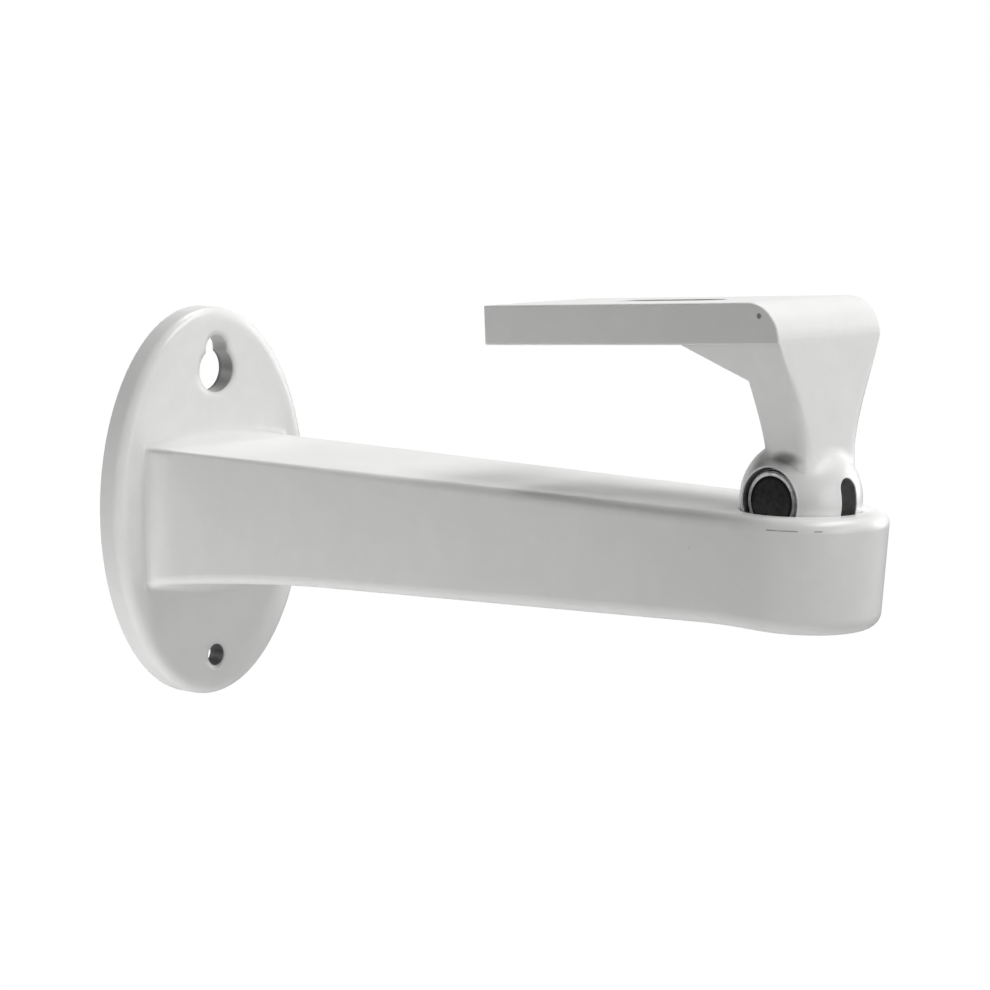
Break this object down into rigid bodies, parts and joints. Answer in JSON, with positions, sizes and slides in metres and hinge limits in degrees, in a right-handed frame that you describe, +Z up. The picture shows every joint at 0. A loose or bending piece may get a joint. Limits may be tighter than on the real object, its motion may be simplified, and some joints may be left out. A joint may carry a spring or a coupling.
{
  "type": "camera wall bracket",
  "caption": "White cast wall bracket for a camera: oval wall plate with a keyhole, tapered arm, and a flat camera plate on a slotted ball joint that pans and tilts.",
  "frame": {"origin": "centre of the oval wall plate, on the wall's surface", "axes": "+X out of the wall along the arm, +Y across the arm, +Z up"},
  "size_m": [0.1998, 0.0596, 0.1042],
  "materials": {
    "white_paint": "semi-gloss white paint on a casting",
    "dark_steel": "turned steel, dark face",
    "zinc_steel": "zinc plated"
  },
  "bodies": {
    "arm": {"wall_arm": "white_paint"},
    "clamp": {"cross_pin": "dark_steel", "lock_bolt": "zinc_steel", "flat_washer": "zinc_steel", "spring_washer": "zinc_steel"},
    "head": {"swivel_head": "white_paint"}
  },
  "joints": [
    {"name": "head_pan", "type": "hinge", "parent": "arm", "child": "clamp", "pos_m": [0.182, 0, 0.0181], "axis": [0, 0, 1], "continuous": true},
    {"name": "head_tilt", "type": "hinge", "parent": "clamp", "child": "head", "pos_m": [0.182, 0, 0.0181], "axis": [0, 1, 0], "range_deg": [-16, 56]}
  ]
}
